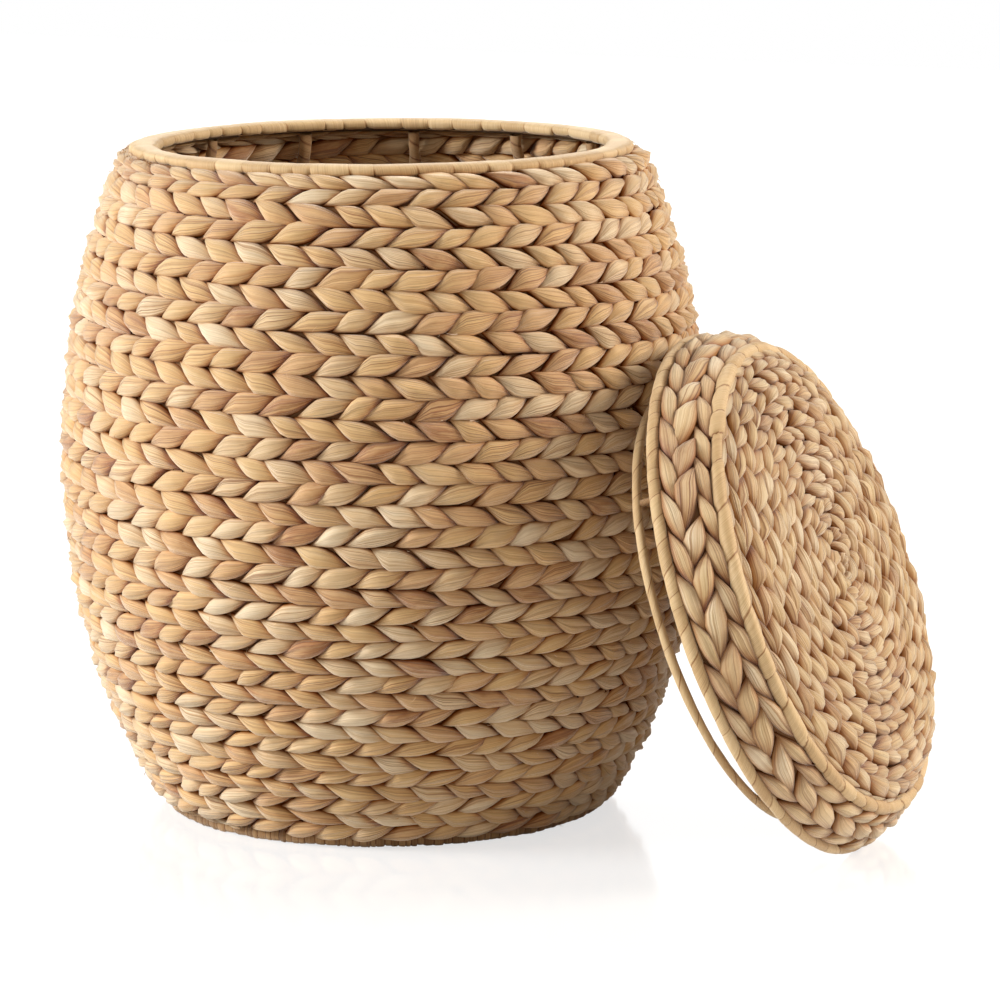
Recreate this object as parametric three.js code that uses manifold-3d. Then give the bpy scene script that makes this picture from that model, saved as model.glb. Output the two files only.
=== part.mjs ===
// A barrel-shaped storage basket of plaited water hyacinth on a wire frame, with its lid taken
// off and leaning against the wall. Millimetres, +Z up, origin on the floor under the basket's
// centre, +X towards the leaning lid.

import * as THREE from "three";
import Module from "manifold-3d";

const wasm = await Module();
wasm.setup();

// Clearances
const seatGap = 0.3; // between pieces that rest on each other
const loopGap = 0.7; // between neighbouring turns of one plait
const stepsPerTurn = 24; // flats in one turn of a plait
const ringSteps = 48; // flats in a wrapped ring

// Basket
const basketHeight = 474.3;
const bellyRadius = 230;
const bellyHeight = 250;
const mouthRadius = 187.2; // outside of the wall, just under the rim
const footRadius = 160.4; // outside of the wall, where its curve meets the floor
const wallThickness = 16;
const upperPlaitWidth = 29.1; // rows above the belly
const lowerPlaitWidth = 25.2; // rows below the belly
const upperRows = 9.5;
const topRowWidth = 15.8; // what shows of the top row under the rim, at the front
const taperedEnd = 2.5; // width to which the plait is thinned at both ends
const plaitStartAngle = 120; // degrees, at the back of the basket
const plaitShoulder = 0.28; // how far a plait's crown falls to its edge, as a share of its thickness

// Rim
const rimWidth = 18;
const rimHeight = 9;
const bindingThickness = 2.6;

// Stakes
const stakeCount = 13;
const stakeWidth = 9;
const stakeDepth = 6;
const stakeFootHeight = 1;
const stakeSteps = 11;

// Base
const baseRingHalf = 4.6;
const basePlaitThickness = 10;
const basePlaitWidth = 36;
const coilEye = 3; // radius left open in the middle of a flat coil
const frameBarWidth = 8;
const frameBarHeight = 4;
const baseBars = 2;

// Lid
const lidRingHalf = 4.2;
const skirtOverhang = 4.9; // from the rim's edge out to the middle of the skirt ring
const bandFlare = 18.5; // how much wider the skirt ring is than the crown ring
const bandRise = 37.9; // from the skirt ring up to the crown ring
const bandThickness = 12;
const topPlaitThickness = 12;
const topPlaitWidth = 21;
const topPlaitRise = 8; // dome of the lid's top
const domeSteps = 10; // straight stretches of a bar under the dome
const locatingRingHalf = 3;
const locatingClearance = 2.6; // between the locating ring and the rim
const locatingDrop = 27.2; // from the skirt ring down to the locating ring
const lidBars = 2;
const lidBarTurn = 53; // degrees
const postRadius = 2.6;

// Leaning pose of the lid
const lidTilt = 20; // degrees, from its top face looking level to looking up
const lidTwist = 6; // degrees, about the vertical
const leanSamples = 90;
const leanRounds = 12;

const radians = THREE.MathUtils.degToRad;
const flatRatio = Math.tan(Math.PI / 8); // half of an octagon's side over its inner radius
const cornerRatio = 1 / Math.cos(Math.PI / 8); // an octagon's outer radius over its inner radius
const plaitFlat = Math.cos(Math.PI / stepsPerTurn); // a flat's middle against its ends
const ringFlat = Math.cos(Math.PI / ringSteps);

// Colours and finish of the dried plant fibre
const fibre = (color, roughness) => new THREE.MeshStandardMaterial({ color, roughness, metalness: 0 });
const plaitFibre = fibre("#cfa877", 0.85);
const bindingFibre = fibre("#d3b47f", 0.75);
const stakeFibre = fibre("#a9804f", 0.8);
const lidFibre = fibre("#c69c69", 0.85);
const wireFinish = new THREE.MeshStandardMaterial({ color: "#5b4a38", roughness: 0.55, metalness: 0.6 });

function addMesh(group, name, geometry, material) {
  const mesh = new THREE.Mesh(geometry, material);
  mesh.name = name;
  group.add(mesh);
  return mesh;
}

function pointAround(radius, angle, height) {
  return new THREE.Vector3(radius * Math.cos(angle), radius * Math.sin(angle), height);
}

// A closed skin over a row of sections that all have the same number of points
function loft(sections) {
  const sides = sections[0].length;
  const index = [];
  for (let i = 0; i + 1 < sections.length; i++) {
    for (let j = 0; j < sides; j++) {
      const a = i * sides + j;
      const b = i * sides + ((j + 1) % sides);
      index.push(a, b, b + sides, a, b + sides, a + sides);
    }
  }
  const last = (sections.length - 1) * sides;
  for (let j = 1; j + 1 < sides; j++) {
    index.push(0, j + 1, j, last, last + j, last + j + 1);
  }
  const geometry = new THREE.BufferGeometry().setFromPoints(sections.flat());
  geometry.setIndex(index);
  return geometry;
}

// A ring turned about Z from a closed outline of [radius, height] points, counterclockwise
function turnedRing(outline, steps) {
  const points = [...outline, outline[0]].map(([radius, height]) => new THREE.Vector2(radius, height));
  return new THREE.LatheGeometry(points, steps).rotateX(Math.PI / 2);
}

function octagon(radius, height, halfWidth, halfHeight) {
  const w = halfWidth * flatRatio;
  const h = halfHeight * flatRatio;
  return [
    [-w, -halfHeight],
    [w, -halfHeight],
    [halfWidth, -h],
    [halfWidth, h],
    [w, halfHeight],
    [-w, halfHeight],
    [-halfWidth, h],
    [-halfWidth, -h],
  ].map(([x, y]) => [radius + x, height + y]);
}

// The six corners of a flat plait's section, as [place along the surface, depth below its face].
// Both faces are crowned, and the two edges are flat where neighbouring rows meet.
function plaitSection(start, end, thickness) {
  const middle = (start + end) / 2;
  const shoulder = plaitShoulder * thickness;
  return [
    [middle, 0],
    [end, shoulder],
    [end, thickness - shoulder],
    [middle, thickness],
    [start, thickness - shoulder],
    [start, shoulder],
  ];
}

// One plait wound turn beside turn as a single strip. edge(turn) is where the strip's trailing
// edge lies, reach is how far the surface goes that it covers, and place turns a place along the
// surface, a depth below it and an angle into a point. The strip is thinned at both ends, so that
// it starts level with the surface's first edge and ends level with its last.
function winding({ label, edge, reach, thickness, place }) {
  const sections = [];
  for (let step = 0; edge(step / stepsPerTurn - 1) + loopGap + taperedEnd <= reach; step++) {
    const turn = step / stepsPerTurn;
    const start = Math.max(edge(turn - 1) + loopGap, 0);
    const end = Math.min(edge(turn), reach);
    if (end - start >= taperedEnd) {
      const corners = plaitSection(start, end, thickness);
      sections.push(corners.map(([along, depth]) => place(along, depth, turn * 2 * Math.PI)));
    }
  }
  const turns = (sections.length - 1) / stepsPerTurn;
  console.log(`${label}: ${turns.toFixed(2)} turns, least gap ${leastGap(sections).toFixed(2)} mm`);
  return loft(sections);
}

// The least distance from a winding to its own next turn, measured on points of its sections
function leastGap(sections) {
  const samples = sections.slice(1).map((section, i) => {
    const between = section.map((point, j) => point.clone().lerp(sections[i][j], 0.5));
    return [...section, ...between];
  });
  let least = Infinity;
  for (let i = 0; i + stepsPerTurn + 1 < samples.length; i++) {
    for (const next of samples.slice(i + stepsPerTurn - 1, i + stepsPerTurn + 2)) {
      for (const p of samples[i]) {
        for (const q of next) {
          least = Math.min(least, p.distanceTo(q));
        }
      }
    }
  }
  return least;
}

// Wall profile: a quarter of an ellipse above the belly and one below it

const wallTop = basketHeight - rimHeight - seatGap;
const shoulderReach = (wallTop - bellyHeight) / Math.sqrt(1 - (mouthRadius / bellyRadius) ** 2);
const footReach = bellyHeight / Math.sqrt(1 - (footRadius / bellyRadius) ** 2);

function wallRadius(height) {
  const reach = height > bellyHeight ? shoulderReach : footReach;
  return bellyRadius * Math.sqrt(1 - ((height - bellyHeight) / reach) ** 2);
}

// Lean of the wall from the vertical, positive where it opens upwards
function wallLean(height) {
  const reach = height > bellyHeight ? shoulderReach : footReach;
  return Math.atan((bellyRadius ** 2 * (bellyHeight - height)) / (reach ** 2 * wallRadius(height)));
}

// Heights of the profile at every millimetre along its curve, from the rim down
const wallHeights = [wallTop];
while (wallHeights.at(-1) > -wallThickness) {
  const height = wallHeights.at(-1);
  const middle = height - Math.cos(wallLean(height)) / 2;
  wallHeights.push(height - Math.cos(wallLean(middle)));
}

function wallHeightAt(along) {
  const i = Math.min(Math.floor(along), wallHeights.length - 2);
  return THREE.MathUtils.lerp(wallHeights[i], wallHeights[i + 1], along - i);
}

// [radius, height] of the point that lies a depth inside the wall's face
function wallPoint(along, depth) {
  const height = wallHeightAt(along);
  const lean = wallLean(height);
  return [wallRadius(height) - depth * Math.cos(lean), height + depth * Math.sin(lean)];
}

function placeOnWall(along, depth, angle) {
  const [radius, height] = wallPoint(along, depth);
  return pointAround(radius, angle + radians(plaitStartAngle), height);
}

// Trailing edge of the side plait after a number of turns. The front lies half a turn from its
// start, where topRowWidth shows of the top row.
function wallEdge(turn) {
  const upper = Math.min(turn, upperRows) - 0.5;
  const lower = Math.max(turn - upperRows, 0);
  return topRowWidth + upper * upperPlaitWidth + lower * lowerPlaitWidth;
}

// The base ring continues the wall's middle surface down to the floor
let baseRingAlong = wallEdge(upperRows);
while (wallPoint(baseRingAlong, wallThickness / 2)[1] > baseRingHalf) {
  baseRingAlong += 0.1;
}
const baseRingRadius = wallPoint(baseRingAlong, wallThickness / 2)[0];
const baseRingLean = wallLean(wallHeightAt(baseRingAlong));
const flatSag = baseRingRadius * (1 - plaitFlat) * Math.sin(baseRingLean); // of the plait's flats, along the wall
const wallBottom = baseRingAlong - baseRingHalf * cornerRatio - seatGap - flatSag;

const sidePlait = {
  label: "side plait",
  edge: wallEdge,
  reach: wallBottom,
  thickness: wallThickness,
  place: placeOnWall,
};

// Stakes: wrapped wires inside the wall, from the rim down to the base ring

const stakeFootFace = (baseRingRadius - baseRingHalf) * ringFlat - seatGap;
const stakeTopFace = stakeWallFace(0, 0)[0];
const rimRadius = stakeTopFace - stakeDepth / 2;

// A point of the stake that follows the wall's inner face, clear of the plait's flats
function stakeWallFace(along, depth) {
  const [radius, height] = wallPoint(along, wallThickness + seatGap + depth);
  return [radius * plaitFlat, height];
}

function stakeSection(face, angle) {
  const half = stakeWidth / 2;
  const flat = stakeWidth / 3;
  return [
    [flat, 0],
    [-flat, 0],
    [-half, stakeDepth / 2],
    [-flat, stakeDepth],
    [flat, stakeDepth],
    [half, stakeDepth / 2],
  ].map(([across, depth]) => {
    const [radius, height] = face(depth);
    const point = new THREE.Vector3(radius, across, height);
    return point.applyAxisAngle(new THREE.Vector3(0, 0, 1), angle);
  });
}

function stake(angle) {
  const faces = [(depth) => [stakeTopFace - depth, wallTop]];
  for (let i = 0; i <= stakeSteps; i++) {
    const along = (wallBottom * i) / stakeSteps;
    faces.push((depth) => stakeWallFace(along, depth));
  }
  faces.push((depth) => [stakeFootFace - depth, baseRingHalf * 2]);
  faces.push((depth) => [stakeFootFace - depth, stakeFootHeight]);
  return loft(faces.map((face) => stakeSection(face, angle)));
}

// Rim: a hoop under a fibre binding that is open below, where the stakes come up to the hoop

function rimBinding() {
  const top = basketHeight;
  const bottom = basketHeight - rimHeight;
  const inner = rimRadius - rimWidth / 2;
  const outer = rimRadius + rimWidth / 2;
  const t = bindingThickness;
  return turnedRing(
    [
      [inner, bottom],
      [inner + t, bottom],
      [inner + t, top - t],
      [outer - t, top - t],
      [outer - t, bottom],
      [outer, bottom],
      [outer, top - t],
      [outer - t, top],
      [inner + t, top],
      [inner, top - t],
    ],
    ringSteps,
  );
}

function rimHoop() {
  const halfWidth = rimWidth / 2 - bindingThickness - seatGap;
  const halfHeight = (rimHeight - bindingThickness - seatGap) / 2;
  return turnedRing(octagon(rimRadius, basketHeight - rimHeight + halfHeight, halfWidth, halfHeight), ringSteps);
}

// A flat bar across a ring, whose upper face lies at topAt(x)
function frameBar(halfLength, steps, topAt, angle) {
  const sections = [];
  for (let i = 0; i <= steps; i++) {
    const x = THREE.MathUtils.lerp(-halfLength, halfLength, i / steps);
    const z = topAt(x);
    const corners = [
      [frameBarWidth / 2, 0],
      [-frameBarWidth / 2, 0],
      [-frameBarWidth / 2, -frameBarHeight],
      [frameBarWidth / 2, -frameBarHeight],
    ];
    sections.push(corners.map(([y, below]) => new THREE.Vector3(x, y, z + below)));
  }
  return loft(sections).rotateZ(angle);
}

// Crossing bars welded into one piece
function weldedBars(count, turn, halfLength, steps, topAt) {
  let welded = null;
  for (let i = 0; i < count; i++) {
    const bar = solidOf(frameBar(halfLength, steps, topAt, radians(turn) + (i * Math.PI) / count));
    welded = welded ? welded.add(bar) : bar;
  }
  return geometryOf(welded);
}

function solidOf(geometry) {
  return new wasm.Manifold(
    new wasm.Mesh({
      numProp: 3,
      vertProperties: Float32Array.from(geometry.getAttribute("position").array),
      triVerts: Uint32Array.from(geometry.index.array),
    }),
  );
}

function geometryOf(solid) {
  const mesh = solid.getMesh();
  const geometry = new THREE.BufferGeometry();
  geometry.setAttribute("position", new THREE.BufferAttribute(mesh.vertProperties, mesh.numProp));
  geometry.setIndex(new THREE.BufferAttribute(mesh.triVerts, 1));
  return geometry;
}

// Base: a wrapped ring, bars across it and a flat plait coiled on the bars

const basePlaitRadius = stakeFootFace - stakeDepth - seatGap;
const basePlaitTop = frameBarHeight + seatGap + basePlaitThickness;
const basePlait = {
  label: "base plait",
  edge: (turn) => turn * basePlaitWidth,
  reach: basePlaitRadius - coilEye,
  thickness: basePlaitThickness,
  place: (along, depth, angle) => pointAround(basePlaitRadius - along, -angle, basePlaitTop - depth),
};

const basket = new THREE.Group();
addMesh(basket, "side_plait", winding(sidePlait), plaitFibre);
addMesh(basket, "rim_binding", rimBinding(), bindingFibre);
addMesh(basket, "rim_hoop", rimHoop(), wireFinish);
for (let i = 0; i < stakeCount; i++) {
  const name = `stake_${String(i + 1).padStart(2, "0")}`;
  addMesh(basket, name, stake((i * 2 * Math.PI) / stakeCount), stakeFibre);
}
addMesh(
  basket,
  "base_ring",
  turnedRing(octagon(baseRingRadius, baseRingHalf, baseRingHalf, baseRingHalf), ringSteps),
  stakeFibre,
);
const baseBarHalf = (baseRingRadius - baseRingHalf) * ringFlat - seatGap;
const baseCross = weldedBars(baseBars, barTurnBetweenStakes(), baseBarHalf, 1, () => frameBarHeight);
addMesh(basket, "base_cross", baseCross, wireFinish);
addMesh(basket, "base_plait", winding(basePlait), plaitFibre);

// The bars' ends meet the base ring between two stakes
function barTurnBetweenStakes() {
  return 360 / stakeCount / (baseBars * 4);
}

// Lid, in its own frame: the skirt ring lies at height 0 and its top face looks along +Z

const skirtRadius = rimRadius + rimWidth / 2 + skirtOverhang;
const crownRadius = skirtRadius - bandFlare;
const locatingRadius = rimRadius - rimWidth / 2 - locatingClearance - locatingRingHalf;
const topPlaitRadius = (crownRadius - lidRingHalf) * ringFlat - seatGap;
const topPlaitBottom = bandRise - lidRingHalf; // at the crown ring, level with its underside

function lidDome(radius) {
  return topPlaitRise * (1 - (radius / topPlaitRadius) ** 2);
}

function lidRing(radius, height, half) {
  return turnedRing(octagon(radius, height, half, half), ringSteps);
}

// One plait between the crown ring and the skirt ring
function lidBand() {
  const slope = Math.hypot(bandFlare, bandRise);
  const end = lidRingHalf * cornerRatio + seatGap;
  const [outward, down] = [bandFlare / slope, -bandRise / slope];
  const outline = plaitSection(end, slope - end, bandThickness).map(([along, depth]) => {
    const out = bandThickness / 2 - depth;
    return [crownRadius + along * outward - out * down, bandRise + along * down + out * outward];
  });
  return turnedRing(outline.reverse(), ringSteps);
}

const topPlait = {
  label: "lid top plait",
  edge: (turn) => turn * topPlaitWidth,
  reach: topPlaitRadius - coilEye,
  thickness: topPlaitThickness,
  place: (along, depth, angle) => {
    const radius = topPlaitRadius - along;
    return pointAround(radius, -angle, topPlaitBottom + lidDome(radius) + topPlaitThickness - depth);
  },
};

const lid = new THREE.Group();
addMesh(lid, "lid_skirt_ring", lidRing(skirtRadius, 0, lidRingHalf), bindingFibre);
addMesh(lid, "lid_crown_ring", lidRing(crownRadius, bandRise, lidRingHalf), bindingFibre);
addMesh(lid, "lid_locating_ring", lidRing(locatingRadius, -locatingDrop, locatingRingHalf), bindingFibre);
addMesh(lid, "lid_band_plait", lidBand(), lidFibre);
addMesh(lid, "lid_top_plait", winding(topPlait), lidFibre);
const lidBarTop = topPlaitBottom - seatGap;
const lidBarHalf = crownRadius - lidRingHalf / 2; // its ends lie under the crown ring
const lidCross = weldedBars(lidBars, lidBarTurn, lidBarHalf, domeSteps, (x) => lidBarTop + lidDome(x));
addMesh(lid, "lid_cross", lidCross, wireFinish);

// Posts that hang the locating ring under the ends of the bars
const postBottom = locatingRingHalf - locatingDrop + seatGap;
const postTop = lidBarTop - frameBarHeight + lidDome(locatingRadius + postRadius) - seatGap;
for (let i = 0; i < lidBars * 2; i++) {
  const angle = radians(lidBarTurn) + (i * Math.PI) / lidBars;
  const post = new THREE.CylinderGeometry(postRadius, postRadius, postTop - postBottom, 8).rotateX(Math.PI / 2);
  const mesh = addMesh(lid, `lid_post_${i + 1}`, post, stakeFibre);
  mesh.position.copy(pointAround(locatingRadius, angle, (postTop + postBottom) / 2));
  mesh.rotation.z = angle;
}

// The lid stands on the edge of its skirt and leans until its locating ring meets the wall

lid.rotation.set(0, Math.PI / 2 - radians(lidTilt), radians(lidTwist), "ZYX");
lid.updateMatrixWorld(true);
lid.position.z = -new THREE.Box3().setFromObject(lid, true).min.z;

// Radius of the plaited wall's face at a height and an angle about the basket's axis
function plaitedWallRadius(height, angle) {
  const along = wallHeights.findIndex((other) => other <= height);
  const turns = (angle - radians(plaitStartAngle)) / (2 * Math.PI);
  const offset = turns - Math.floor(turns);
  let turn = offset;
  while (wallEdge(turn) < along) {
    turn += 1;
  }
  const start = Math.max(wallEdge(turn - 1), 0);
  const share = (along - start) / (wallEdge(turn) - start);
  const fall = plaitShoulder * wallThickness * Math.abs(2 * share - 1);
  const step = (2 * Math.PI) / stepsPerTurn;
  const fromMiddle = (((angle % step) + step) % step) - step / 2;
  return (wallPoint(along, fall)[0] * plaitFlat) / Math.cos(fromMiddle);
}

// Least distance outward from the wall to the locating ring, with the lid at a place along X
function leanClearance(x) {
  lid.position.x = x;
  lid.updateMatrixWorld(true);
  let least = Infinity;
  for (let i = 0; i < leanSamples; i++) {
    const angle = Math.PI * (0.5 + i / leanSamples);
    const point = pointAround(locatingRadius, angle, -locatingDrop).applyMatrix4(lid.matrixWorld);
    const fromAxis = Math.hypot(point.x, point.y);
    const wall = plaitedWallRadius(point.z, Math.atan2(point.y, point.x));
    const sideways = Math.cos(wallLean(point.z));
    least = Math.min(least, (fromAxis - wall) * sideways - locatingRingHalf * cornerRatio);
  }
  return least;
}

let lidPlace = bellyRadius + skirtRadius;
for (let i = 0; i < leanRounds; i++) {
  lidPlace -= leanClearance(lidPlace) - seatGap;
}
lid.position.x = lidPlace;

const whole = new THREE.Group();
whole.add(basket, lid);
whole.updateMatrixWorld(true);

export default whole;
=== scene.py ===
# A barrel-shaped basket of plaited water hyacinth and its lid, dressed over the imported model.
# Metres, +Z up, origin on the floor under the basket's centre, +X towards the leaning lid.

import math

import bpy
import numpy as np
from mathutils import Matrix, Vector


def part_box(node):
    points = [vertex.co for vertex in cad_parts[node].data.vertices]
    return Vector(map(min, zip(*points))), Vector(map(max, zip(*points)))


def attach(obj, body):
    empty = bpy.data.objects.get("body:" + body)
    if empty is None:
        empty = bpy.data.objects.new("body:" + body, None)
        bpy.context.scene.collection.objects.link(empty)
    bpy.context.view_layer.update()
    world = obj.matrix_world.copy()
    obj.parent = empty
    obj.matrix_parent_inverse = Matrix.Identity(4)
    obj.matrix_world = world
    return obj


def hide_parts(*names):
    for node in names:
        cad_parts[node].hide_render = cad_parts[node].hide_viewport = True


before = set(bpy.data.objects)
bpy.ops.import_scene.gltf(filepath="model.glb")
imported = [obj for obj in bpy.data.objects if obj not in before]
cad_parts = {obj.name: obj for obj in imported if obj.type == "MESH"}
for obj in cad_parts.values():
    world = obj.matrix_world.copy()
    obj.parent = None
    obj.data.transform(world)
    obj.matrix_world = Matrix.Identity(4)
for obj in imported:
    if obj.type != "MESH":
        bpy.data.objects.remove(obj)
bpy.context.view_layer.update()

SEAT_GAP = 0.0003
LOOP_GAP = 0.0007
FLOOR_CLEARANCE = 0.0001

# The wall's profile and its plait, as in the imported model
BASKET_HEIGHT = 0.4743
BELLY_RADIUS = 0.230
BELLY_HEIGHT = 0.250
MOUTH_RADIUS = 0.1872
FOOT_RADIUS = 0.1604
WALL_THICKNESS = 0.016
UPPER_PLAIT_WIDTH = 0.0291
LOWER_PLAIT_WIDTH = 0.0252
UPPER_ROWS = 9.5
TOP_ROW_WIDTH = 0.0158
PLAIT_START = math.radians(120)
RIM_WIDTH = 0.018
RIM_HEIGHT = 0.009
STAKE_COUNT = 13
WALL_FLATS = 24
STAKE_WIDTH = 0.009
STAKE_DEPTH = 0.006
BASE_RING_HALF = 0.0046
BASE_PLAIT_THICKNESS = 0.010
BASE_PLAIT_WIDTH = 0.036
FRAME_BAR_HEIGHT = 0.004
COIL_EYE = 0.003
FLAT_SHARE = math.cos(math.pi / WALL_FLATS)  # of a radius, at the middle of one of the wall's flats

# The lid
LID_TILT = math.radians(20)
LID_TWIST = math.radians(6)
LID_RING_HALF = 0.0042
SKIRT_OVERHANG = 0.0049
BAND_FLARE = 0.0185
BAND_RISE = 0.0379
TOP_PLAIT_THICKNESS = 0.012
TOP_PLAIT_WIDTH = 0.021
TOP_PLAIT_RISE = 0.008
LOCATING_RING_HALF = 0.003
LOCATING_CLEARANCE = 0.0026
LOCATING_DROP = 0.0272
LID_BARS = 2
LID_BAR_TURN = math.radians(53)
POST_RADIUS = 0.0026

# How the visual plaits and wraps lie
UNDER_RIM_SLOPE = 0.4  # how steeply the wall's first row leans in where it runs under the rim
LOW_EDGE = 0.014  # over which the leaves at the lid top's edge come up to their full height
LEAST_RADIUS = 0.0002  # of a coil's leaves at its middle
RIM_WRAP_RAISED = 0.0005  # how far the rim's wraps are centred above the middle of its solid
RIM_WRAP_THINNED = 0.0004  # how much is taken off their half height, before they bulge
CROWN_WRAP_HALF = 0.0046  # half the thickness of the crown ring's wraps, before they bulge
FIBRE_UNIT = 0.016  # length along a stem that one unit of its fibre pattern covers
WRAP_UNIT = 0.008  # the same along a wrapped tube

rng = np.random.default_rng(11)


def draws(count, most):
    """Normal draws, clipped so that none is further out than most."""
    return np.clip(rng.standard_normal(count), -most, most)


# Meshes


def add(name, made, material, body, slot, *replaced):
    """A smooth piece that rides on a body, made of points, faces, point attributes and UVs."""
    points, faces, layers, uv = made
    points[:, 2] = np.maximum(points[:, 2], FLOOR_CLEARANCE)
    mesh = bpy.data.meshes.new(name)
    mesh.from_pydata(points.tolist(), [], faces.tolist())
    mesh.polygons.foreach_set("use_smooth", np.ones(len(mesh.polygons), dtype=bool))
    for label, values in layers.items():
        layer = mesh.attributes.new(label, "FLOAT", "POINT")
        layer.data.foreach_set("value", values.astype(np.float32))
    corners = np.empty(len(mesh.loops), dtype=np.int32)
    mesh.loops.foreach_get("vertex_index", corners)
    mesh.uv_layers.new(name="fibre").data.foreach_set("uv", uv[corners].astype(np.float32).ravel())
    mesh.materials.append(material)
    piece = bpy.data.objects.new(name, mesh)
    bpy.context.scene.collection.objects.link(piece)
    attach(piece, body)
    if replaced:
        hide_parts(*replaced)


def grid_faces(rows, columns):
    """Quads over a grid of rows by columns of points."""
    corner = (np.arange(rows - 1)[:, None] * columns + np.arange(columns - 1)[None, :]).ravel()
    return np.stack([corner, corner + columns, corner + columns + 1, corner + 1], axis=1)


def polar(radius, angle, height):
    """Points at a radius from the vertical axis, an angle about it and a height."""
    return np.stack([radius * np.cos(angle), radius * np.sin(angle), height + 0 * angle], axis=-1)


# The wall's profile: a quarter of an ellipse above the belly and one below it

PROFILE_STEP = 0.0005
ABOVE_WALL = 0.010  # how far the profile goes on above the wall, for the plait's tucked start
WALL_TOP = BASKET_HEIGHT - RIM_HEIGHT - SEAT_GAP
SHOULDER_REACH = (WALL_TOP - BELLY_HEIGHT) / math.sqrt(1 - (MOUTH_RADIUS / BELLY_RADIUS) ** 2)
FOOT_REACH = BELLY_HEIGHT / math.sqrt(1 - (FOOT_RADIUS / BELLY_RADIUS) ** 2)


def wall_radius(height):
    """Radius of the wall's outer face at a height."""
    reach = np.where(height > BELLY_HEIGHT, SHOULDER_REACH, FOOT_REACH)
    return BELLY_RADIUS * np.sqrt(1 - ((height - BELLY_HEIGHT) / reach) ** 2)


def wall_lean(height):
    """Angle by which the wall's outer face looks down at a height. It is negative above the belly,
    where the face looks up."""
    reach = np.where(height > BELLY_HEIGHT, SHOULDER_REACH, FOOT_REACH)
    return np.arctan(BELLY_RADIUS**2 * (BELLY_HEIGHT - height) / (reach**2 * wall_radius(height)))


profile_heights = np.arange(WALL_TOP + ABOVE_WALL, -WALL_THICKNESS, -PROFILE_STEP)
profile_steps = np.hypot(np.diff(wall_radius(profile_heights)), np.diff(profile_heights))
profile_along = np.concatenate([[0], np.cumsum(profile_steps)])
profile_along -= np.interp(-WALL_TOP, -profile_heights, profile_along)


def wall_point(along, depth):
    """Radius and height of the point that lies a depth inside the wall's outer face, at a distance
    along it from its top."""
    height = np.interp(along, profile_along, profile_heights)
    lean = wall_lean(height)
    return wall_radius(height) - depth * np.cos(lean), height + depth * np.sin(lean)


def wall_edge(turn):
    """How far along the profile the plait's trailing edge lies after a number of turns."""
    upper = np.minimum(turn, UPPER_ROWS) - 0.5
    lower = np.maximum(turn - UPPER_ROWS, 0)
    return TOP_ROW_WIDTH + upper * UPPER_PLAIT_WIDTH + lower * LOWER_PLAIT_WIDTH


def base_ring_along():
    """How far along the profile the middle of the wall is as low as the base ring's middle."""
    along = np.linspace(wall_edge(UPPER_ROWS), profile_along[-1], 4000)
    return along[np.argmax(wall_point(along, WALL_THICKNESS / 2)[1] <= BASE_RING_HALF)]


BASE_RING_ALONG = base_ring_along()
BASE_RING_RADIUS = float(wall_point(BASE_RING_ALONG, WALL_THICKNESS / 2)[0])
WALL_BOTTOM = BASE_RING_ALONG - BASE_RING_HALF
STAKE_TOP_FACE = float(wall_point(0.0, WALL_THICKNESS + SEAT_GAP)[0]) * FLAT_SHARE
RIM_RADIUS = STAKE_TOP_FACE - STAKE_DEPTH / 2
SKIRT_RADIUS = RIM_RADIUS + RIM_WIDTH / 2 + SKIRT_OVERHANG
CROWN_RADIUS = SKIRT_RADIUS - BAND_FLARE
LOCATING_RADIUS = RIM_RADIUS - RIM_WIDTH / 2 - LOCATING_CLEARANCE - LOCATING_RING_HALF
TOP_PLAIT_RADIUS = CROWN_RADIUS - LID_RING_HALF - SEAT_GAP
TOP_PLAIT_MIDDLE = BAND_RISE - LID_RING_HALF + TOP_PLAIT_THICKNESS / 2
BASE_PLAIT_RADIUS = BASE_RING_RADIUS - BASE_RING_HALF - STAKE_DEPTH - 3 * SEAT_GAP

# The lid's own frame, at the middle of its skirt ring
skirt_low, skirt_high = (Vector(corner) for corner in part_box("lid_skirt_ring"))
lid_matrix = (
    Matrix.Translation((skirt_low + skirt_high) / 2)
    @ Matrix.Rotation(LID_TWIST, 4, "Z")
    @ Matrix.Rotation(math.pi / 2 - LID_TILT, 4, "Y")
)
lid_array = np.array(lid_matrix)


def in_lid(points):
    """Points of the lid's own frame, in the row frame."""
    return points @ lid_array[:3, :3].T + lid_array[:3, 3]


# Courses that the plaits follow


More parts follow.
